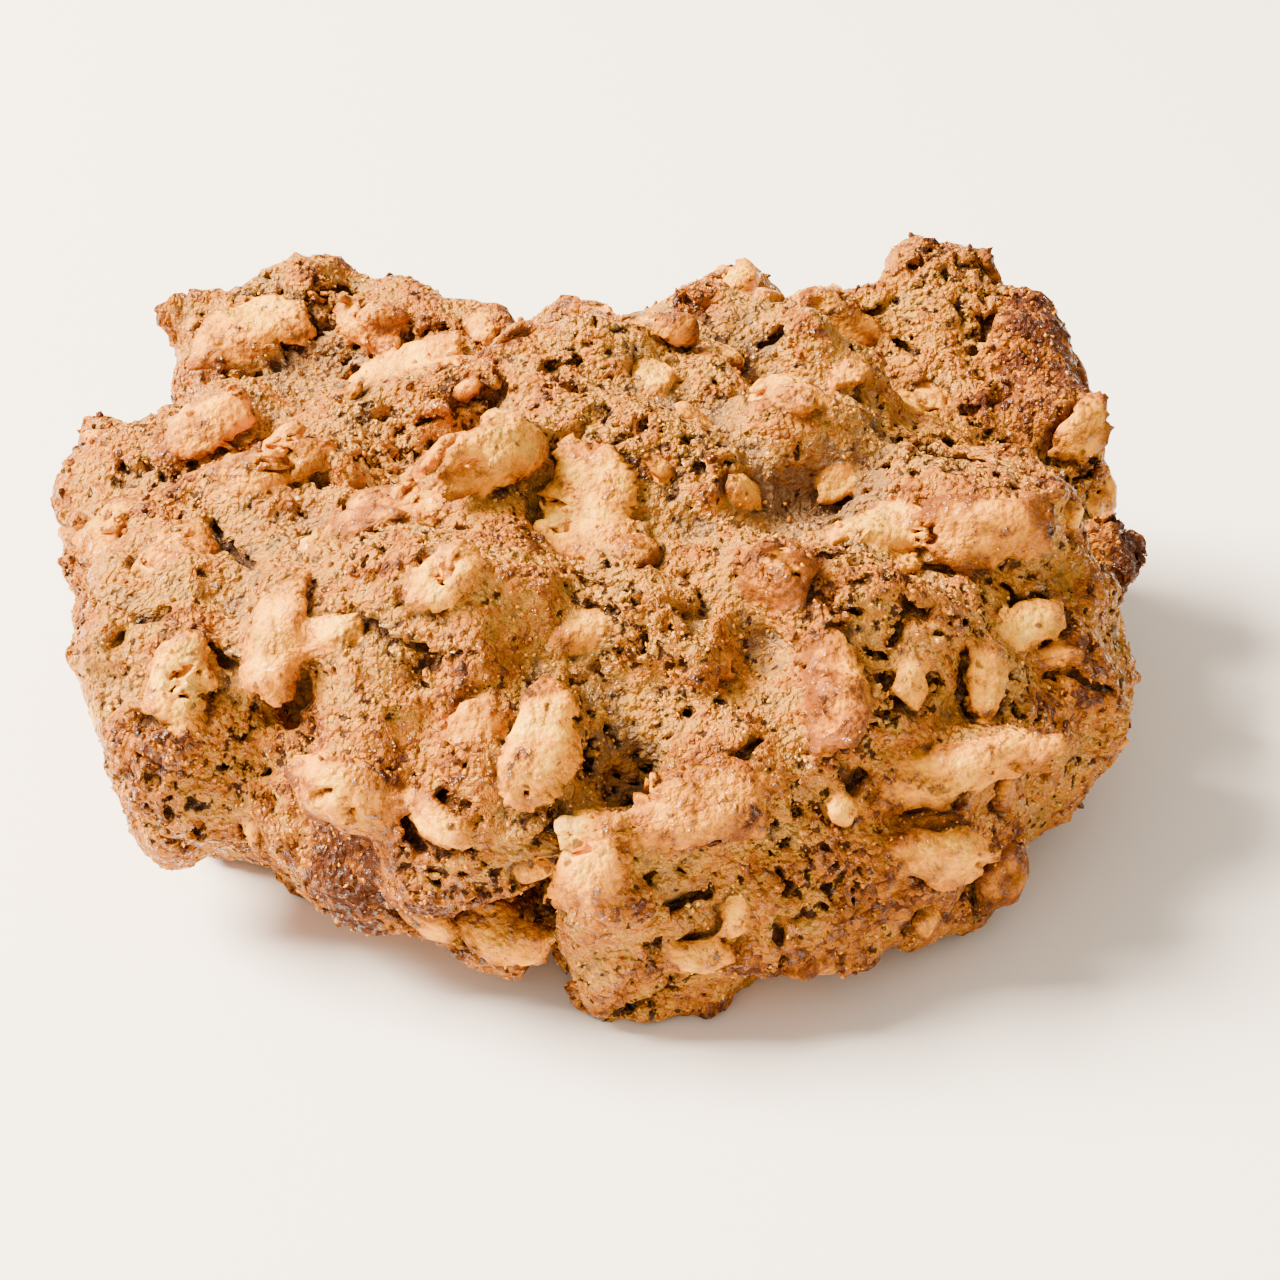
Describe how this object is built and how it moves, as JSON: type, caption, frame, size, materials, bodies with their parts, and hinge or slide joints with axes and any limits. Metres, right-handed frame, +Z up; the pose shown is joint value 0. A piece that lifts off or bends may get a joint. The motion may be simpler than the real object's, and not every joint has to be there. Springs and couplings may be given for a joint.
{
  "type": "oatmeal cookie",
  "caption": "Thick drop cookie of baked oat dough: a craggy domed top of fused lumps with oat flakes standing out, small hollows and splits, and a flat underside.",
  "frame": {"origin": "middle of the flat underside, below the centre of the bounding box", "axes": "+X along the longest side, to the right as seen from the front; +Y to the back, where the small knob stands up; +Z up from the surface it rests on"},
  "size_m": [0.0894, 0.0804, 0.0345],
  "materials": {
    "baked_dough": "matte golden-brown baked crumb with paler oat flakes"
  },
  "bodies": {
    "root": {"oat_cookie": "baked_dough"}
  },
  "joints": []
}
